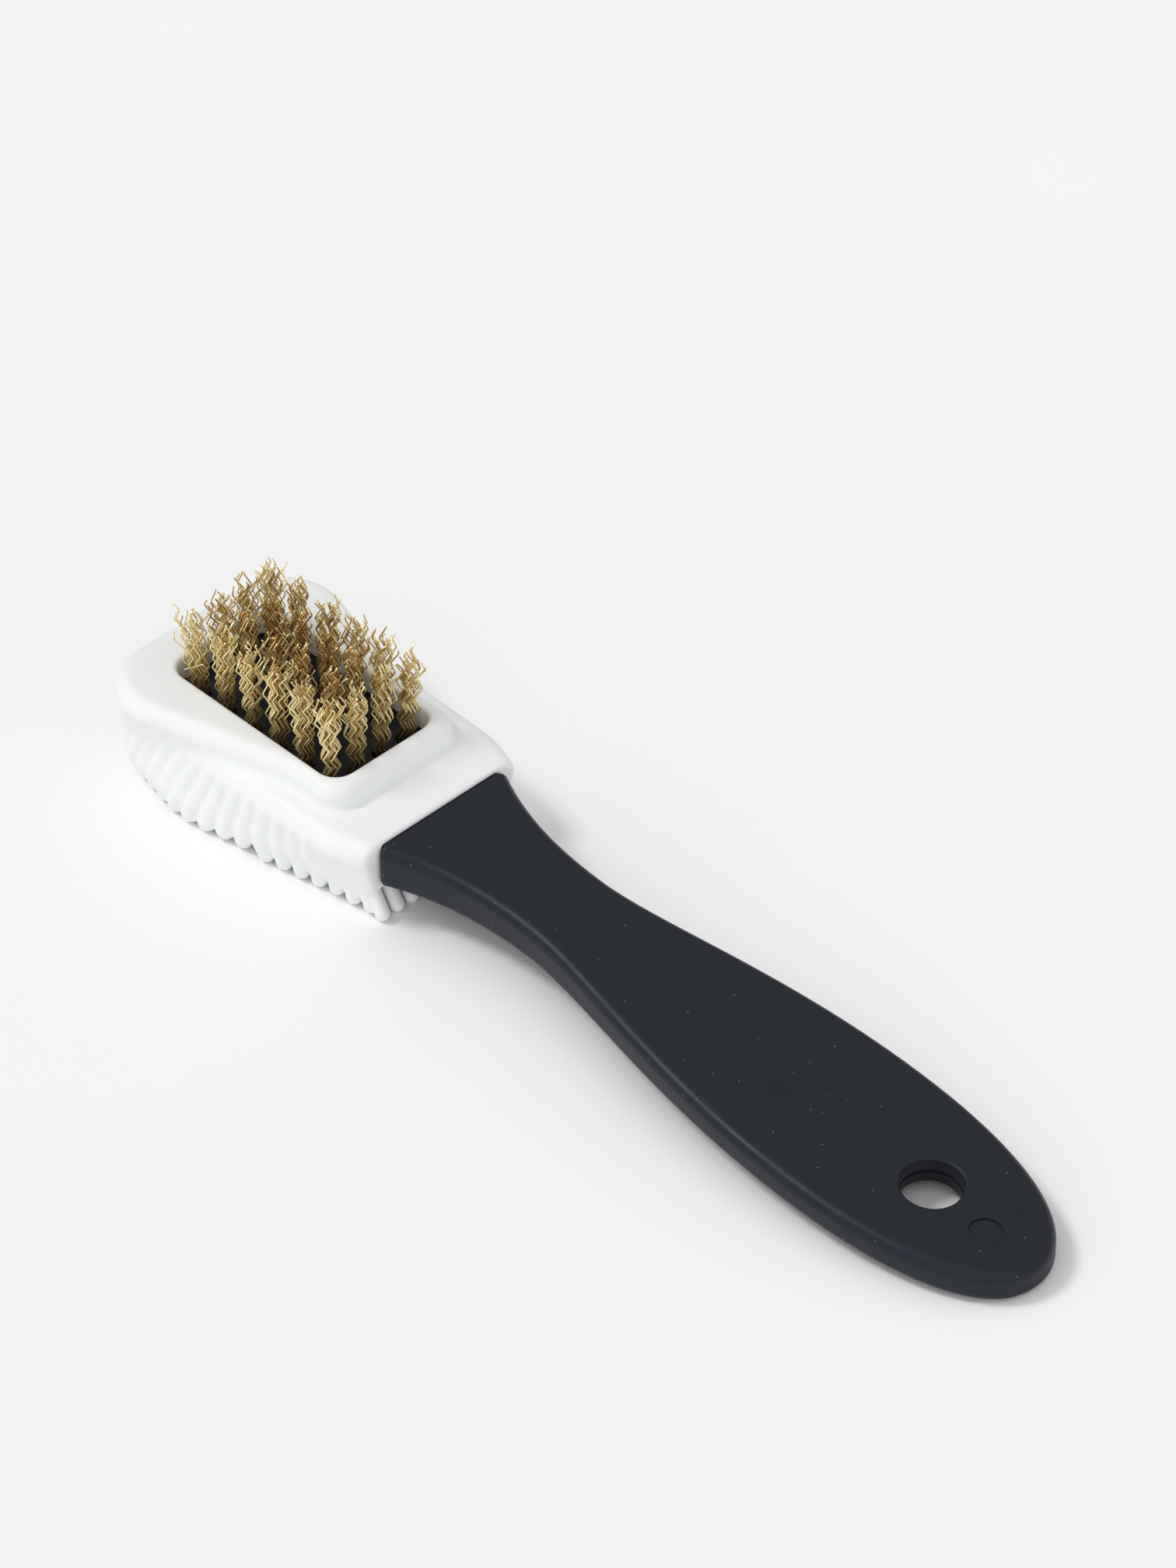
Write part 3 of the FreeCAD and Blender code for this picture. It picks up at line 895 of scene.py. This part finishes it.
def make_tuft(row, column, place):
    """Tuft of crimped brass wires that rise from one hole and spread a little."""
    chance = random.Random(tuft_seed_step * row + column)
    points = []
    faces = []
    tones = []
    lean = Vector((
        tuft_lean_along * from_middle(column, tuft_columns) + chance.gauss(0.0, tuft_lean_spread),
        tuft_lean_across * from_middle(row, tuft_rows) + chance.gauss(0.0, tuft_lean_spread),
        0.0,
    ))
    tuft_turn = chance.gauss(crimp_turn, crimp_turn_spread)
    tuft_phase = chance.random()
    inner = 0 < row < tuft_rows - 1 and 0 < column < tuft_columns - 1
    # Painted shade: inner tufts start darker, edge tufts lighter
    tuft_painted_lighting = inner_tuft_painted_shade if inner else edge_tuft_painted_light
    turned_wire_chance = chance.choice(turned_wire_chances)
    for k in range(wires_in_tuft):
        turn = k * golden_turn
        out = Vector((math.cos(turn), math.sin(turn), 0.0)) * math.sqrt((k + 0.5) / wires_in_tuft)
        height = wire_height + chance.gauss(0.0, wire_height_spread)
        if chance.random() < short_wire_chance:
            height *= chance.uniform(short_wire_least, short_wire_most)
        foot = place + out * tuft_root_radius - lifted(wire_sunk)
        stray_x = chance.gauss(0.0, tip_stray_spread)
        stray_y = chance.gauss(0.0, tip_stray_spread)
        tip = place + lean + out * tuft_tip_radius + Vector((stray_x, stray_y, height))
        tip.z = min(tip.z, wire_top)
        angle = tuft_turn + chance.gauss(0.0, wire_turn_spread)
        way = Vector((math.cos(angle), math.sin(angle), 0.0))
        half_turn = 0.5 if chance.random() < turned_wire_chance else 0.0
        phase = tuft_phase + half_turn + chance.gauss(0.0, wire_phase_spread)
        curl_x = chance.gauss(0.0, tip_curl_spread)
        curl_y = chance.gauss(0.0, tip_curl_spread)
        line, flat = wire_line(foot, tip, way, phase, Vector((curl_x, curl_y, 0.0)))
        # Painted light on the outer wires of a tuft and painted shade on its middle wires, plus a
        # random spread
        tone = tuft_painted_lighting + outer_wire_painted_light * out.length_squared + chance.gauss(0.0, wire_shine_spread)
        add_wire(points, faces, tones, line, flat, min(max(tone, 0.0), 1.0))
    if (row, column) == bent_wire_tuft:
        way = Vector((math.cos(tuft_turn), math.sin(tuft_turn), 0.0))
        ends = (place + bent_wire_foot, place + bent_wire_knee)
        line, flat = wire_line(*ends, way, tuft_phase, lifted(0.0))
        line += [line[-1] + bent_wire_end * share for share in bent_wire_shares]
        add_wire(points, faces, tones, line, flat, 1.0)
    tuft = mesh_object("wires_%d_%d" % (row + 1, column + 1), points, faces)
    # Wire tones with their painted light and shade, read by the brass material
    tone = tuft.data.attributes.new("wire_tone_and_shade", "FLOAT", "POINT")
    tone.data.foreach_set("value", tones)
    smooth_faces(tuft)
    return tuft


# Materials

def set_inputs(node, **sockets):
    """Set input values of a node by socket name, with _ for a space."""
    for name, value in sockets.items():
        node.inputs[name.replace("_", " ")].default_value = value


def add_node(tree, kind, **sockets):
    """New shader node with its input values set."""
    made = tree.nodes.new(kind)
    set_inputs(made, **sockets)
    return made


def fine_grain_group():
    """Node group: fine moulded or drawn grain, as a height and as a slow drift of tone."""
    tree = bpy.data.node_groups.new("fine_grain", "ShaderNodeTree")
    tree.interface.new_socket("Grain Scale", in_out="INPUT", socket_type="NodeSocketFloat")
    tree.interface.new_socket("Drift Scale", in_out="INPUT", socket_type="NodeSocketFloat")
    tree.interface.new_socket("Height", in_out="OUTPUT", socket_type="NodeSocketFloat")
    tree.interface.new_socket("Drift", in_out="OUTPUT", socket_type="NodeSocketFloat")
    entry = tree.nodes.new("NodeGroupInput")
    leave = tree.nodes.new("NodeGroupOutput")
    place = tree.nodes.new("ShaderNodeTexCoord")
    grain = add_node(tree, "ShaderNodeTexNoise", Detail=3.0, Roughness=0.6)
    drift = add_node(tree, "ShaderNodeTexNoise", Detail=4.0, Roughness=0.55)
    for noise, scale, out in ((grain, "Grain Scale", "Height"), (drift, "Drift Scale", "Drift")):
        tree.links.new(place.outputs["Object"], noise.inputs["Vector"])
        tree.links.new(entry.outputs[scale], noise.inputs["Scale"])
        tree.links.new(noise.outputs["Fac"], leave.inputs[out])
    return tree


def new_material(name):
    """New material, its node tree and its shader."""
    material = bpy.data.materials.new(name)
    material.use_nodes = True
    tree = material.node_tree
    return material, tree, tree.nodes["Principled BSDF"]


def add_grain(tree, group, grain_scale, drift_scale):
    """The fine grain group with its two scales set."""
    grain = tree.nodes.new("ShaderNodeGroup")
    grain.node_tree = group
    set_inputs(grain, Grain_Scale=grain_scale, Drift_Scale=drift_scale)
    return grain


def add_bump(tree, shader, height, strength, distance):
    """Bump that feeds the shader's normal."""
    bump = add_node(tree, "ShaderNodeBump", Strength=strength, Distance=distance)
    tree.links.new(height, bump.inputs["Height"])
    tree.links.new(bump.outputs["Normal"], shader.inputs["Normal"])


def add_range(tree, value, low, high, from_low=0.0, from_high=1.0):
    """A value moved from one range to another."""
    change = add_node(
        tree, "ShaderNodeMapRange", From_Min=from_low, From_Max=from_high, To_Min=low, To_Max=high
    )
    tree.links.new(value, change.inputs["Value"])
    return change.outputs["Result"]


def add_drift(tree, grain, low=0.0, high=1.0):
    """Slow drift between two values over the surface."""
    return add_range(tree, grain.outputs["Drift"], low, high, drift_low, drift_high)


def add_math(tree, operation, one, other=0.0):
    """One step of arithmetic on a socket and, where it takes two, a second socket or number."""
    step = tree.nodes.new("ShaderNodeMath")
    step.operation = operation
    tree.links.new(one, step.inputs[0])
    if isinstance(other, float):
        step.inputs[1].default_value = other
    else:
        tree.links.new(other, step.inputs[1])
    return step.outputs[0]


def add_mix(tree, share, one, other):
    """Mix of two colours, each a colour or a socket."""
    mix = tree.nodes.new("ShaderNodeMix")
    mix.data_type = "RGBA"
    tree.links.new(share, mix.inputs["Factor"])
    for name, value in (("A", one), ("B", other)):
        socket = [entry for entry in mix.inputs if entry.name == name and entry.type == "RGBA"][0]
        if isinstance(value, tuple):
            socket.default_value = value + (1.0,)
        else:
            tree.links.new(value, socket)
    return [entry for entry in mix.outputs if entry.type == "RGBA"][0]


def charcoal_plastic(group):
    """Satin charcoal plastic with a fine moulded grain, a slow drift of tone and a few dust specks."""
    material, tree, shader = new_material("charcoal_plastic")
    grain = add_grain(tree, group, grain_scale=5200.0, drift_scale=140.0)
    place = tree.nodes.new("ShaderNodeTexCoord")
    specks = add_node(tree, "ShaderNodeTexVoronoi", Scale=speck_scale)
    tree.links.new(place.outputs["Object"], specks.inputs["Vector"])
    dot = add_range(tree, specks.outputs["Distance"], 1.0, 0.0, speck_core, speck_edge)
    pick = tree.nodes.new("ShaderNodeSeparateColor")
    tree.links.new(specks.outputs["Color"], pick.inputs["Color"])
    chosen = add_range(tree, pick.outputs["Red"], 0.0, speck_cover, speck_none, speck_full)
    dust = add_math(tree, "MULTIPLY", dot, chosen)
    plain = add_mix(tree, add_drift(tree, grain), charcoal_deep, charcoal_pale)
    dusty = add_mix(tree, dust, plain, dust_grey)
    roughness = add_drift(tree, grain, low=0.36, high=0.46)
    tree.links.new(dusty, shader.inputs["Base Color"])
    tree.links.new(roughness, shader.inputs["Roughness"])
    set_inputs(shader, Specular_IOR_Level=0.26, Specular_Tint=charcoal_gleam + (1.0,))
    add_bump(tree, shader, grain.outputs["Height"], strength=0.12, distance=0.05 * MM)
    return material


def white_rubber(group):
    """Matt white rubber with a soft, slightly uneven skin."""
    material, tree, shader = new_material("white_rubber")
    grain = add_grain(tree, group, grain_scale=2600.0, drift_scale=120.0)
    colour = add_mix(tree, add_drift(tree, grain), rubber_shade, rubber_white)
    roughness = add_drift(tree, grain, low=0.46, high=0.58)
    tree.links.new(colour, shader.inputs["Base Color"])
    tree.links.new(roughness, shader.inputs["Roughness"])
    set_inputs(shader, Specular_IOR_Level=0.35, Subsurface_Weight=0.2)
    set_inputs(shader, Subsurface_Radius=(1.0, 0.9, 0.8), Subsurface_Scale=1.2 * MM)
    add_bump(tree, shader, grain.outputs["Height"], strength=0.1, distance=0.04 * MM)
    return material


def brass_wire(group):
    """Drawn brass wire: every wire has its own tone, partly random and partly painted shade on the
    inner tufts and middle wires, and painted shade darkens the roots.
    """
    material, tree, shader = new_material("brass_wire")
    grain = add_grain(tree, group, grain_scale=4000.0, drift_scale=900.0)
    # Tone of every wire, which holds the painted shade of the inner tufts and middle wires
    tone = tree.nodes.new("ShaderNodeAttribute")
    tone.attribute_name = "wire_tone_and_shade"
    wire = add_mix(tree, tone.outputs["Fac"], brass_dull_and_shaded, brass_bright)
    place = tree.nodes.new("ShaderNodeTexCoord")
    split = tree.nodes.new("ShaderNodeSeparateXYZ")
    tree.links.new(place.outputs["Object"], split.inputs["Vector"])
    # Painted shade on the wire roots, full just above the tang and gone a few millimetres higher
    low = tang_top + root_shade_start
    high = tang_top + root_shade_end
    root = add_range(tree, split.outputs["Z"], root_shade_cover, 0.0, low, high)
    root_shaded_wire = add_mix(tree, root, wire, brass_root_shade)
    roughness = add_drift(tree, grain, low=0.10, high=0.17)
    tree.links.new(root_shaded_wire, shader.inputs["Base Color"])
    tree.links.new(roughness, shader.inputs["Roughness"])
    set_inputs(shader, Metallic=0.82)
    add_bump(tree, shader, grain.outputs["Height"], strength=0.08, distance=0.02 * MM)
    return material


def anchor_steel(group):
    """Plain rolled steel strip."""
    material, tree, shader = new_material("anchor_steel")
    grain = add_grain(tree, group, grain_scale=6000.0, drift_scale=700.0)
    colour = add_mix(tree, add_drift(tree, grain), steel_dark, steel_pale)
    roughness = add_range(tree, grain.outputs["Height"], 0.3, 0.5)
    tree.links.new(colour, shader.inputs["Base Color"])
    tree.links.new(roughness, shader.inputs["Roughness"])
    set_inputs(shader, Metallic=1.0)
    add_bump(tree, shader, grain.outputs["Height"], strength=0.1, distance=0.02 * MM)
    return material


def pale_floor(group):
    """Matt white paper."""
    material, tree, shader = new_material("pale_floor")
    grain = add_grain(tree, group, grain_scale=900.0, drift_scale=20.0)
    colour = add_mix(tree, add_drift(tree, grain), paper_shade, paper_white)
    tree.links.new(colour, shader.inputs["Base Color"])
    set_inputs(shader, Roughness=0.9, Specular_IOR_Level=0.0)
    return material


# Floor, light and camera

def make_floor(material):
    """Wide pale floor under the brush."""
    half = floor_half
    points = [(-half, -half, 0.0), (half, -half, 0.0), (half, half, 0.0), (-half, half, 0.0)]
    floor = mesh_object("floor", points, [(0, 1, 2, 3)])
    floor.data.materials.append(material)


def make_surroundings():
    """Studio round the brush: pale walls that fade to one dim side, under an even roof."""
    world = bpy.data.worlds.new("studio")
    world.use_nodes = True
    tree = world.node_tree
    background = tree.nodes["Background"]
    place = tree.nodes.new("ShaderNodeTexCoord")
    split = tree.nodes.new("ShaderNodeSeparateXYZ")
    tree.links.new(place.outputs["Generated"], split.inputs["Vector"])
    azimuth = add_math(tree, "ARCTAN2", split.outputs["Y"], split.outputs["X"])
    turn = add_math(tree, "SUBTRACT", azimuth, math.radians(gap_azimuth))
    towards_gap = add_math(tree, "COSINE", turn)
    walls = add_range(tree, towards_gap, wall_light, gap_light, -1.0, gap_core)
    roof = add_range(tree, split.outputs["Z"], 0.0, 1.0, roof_start, roof_full)
    light = add_node(tree, "ShaderNodeMix", B=roof_light)
    tree.links.new(roof, light.inputs["Factor"])
    tree.links.new(walls, light.inputs["A"])
    tree.links.new(light.outputs["Result"], background.inputs["Strength"])
    set_inputs(background, Color=(1.0, 1.0, 1.0, 1.0))
    bpy.context.scene.world = world


def make_sun():
    """Broad soft key light from the left."""
    sun = bpy.data.objects.new("soft_sun", bpy.data.lights.new("soft_sun", "SUN"))
    sun.data.energy = sun_light
    sun.data.angle = math.radians(sun_spread)
    sun.rotation_euler = Vector(sun_from).to_track_quat("Z", "Y").to_euler()
    bpy.context.scene.collection.objects.link(sun)


def make_camera():
    """Camera at the viewing angle of the photograph."""
    camera = bpy.data.objects.new("camera", bpy.data.cameras.new("camera"))
    camera.data.lens = camera_lens
    camera.data.sensor_width = camera_sensor
    camera.data.clip_start = camera_clip
    camera.location = camera_place
    camera.rotation_euler = (camera_place - camera_target).to_track_quat("Z", "Y").to_euler()
    bpy.context.scene.collection.objects.link(camera)
    bpy.context.scene.camera = camera


# Assembly

def place_piece(piece, material, node):
    """Give a piece its finish, in place of the empty slots that joins and cuts leave, hang it under
    the root body and hide the imported part it stands in for.
    """
    piece.data.materials.clear()
    piece.data.materials.append(material)
    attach(piece, "root")
    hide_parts(node)


grain_group = fine_grain_group()
brass = brass_wire(grain_group)
place_piece(make_handle(), charcoal_plastic(grain_group), "handle")
place_piece(make_boot(), white_rubber(grain_group), "rubber_boot")
for row, column, place in tuft_places():
    tuft = make_tuft(row, column, place)
    place_piece(tuft, brass, "tuft_%d_%d" % (row + 1, column + 1))
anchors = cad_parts["tuft_anchors"]
anchors.data.materials.clear()
anchors.data.materials.append(anchor_steel(grain_group))
make_floor(pale_floor(grain_group))
make_surroundings()
make_sun()
make_camera()
bpy.context.scene.view_settings.view_transform = "Standard"
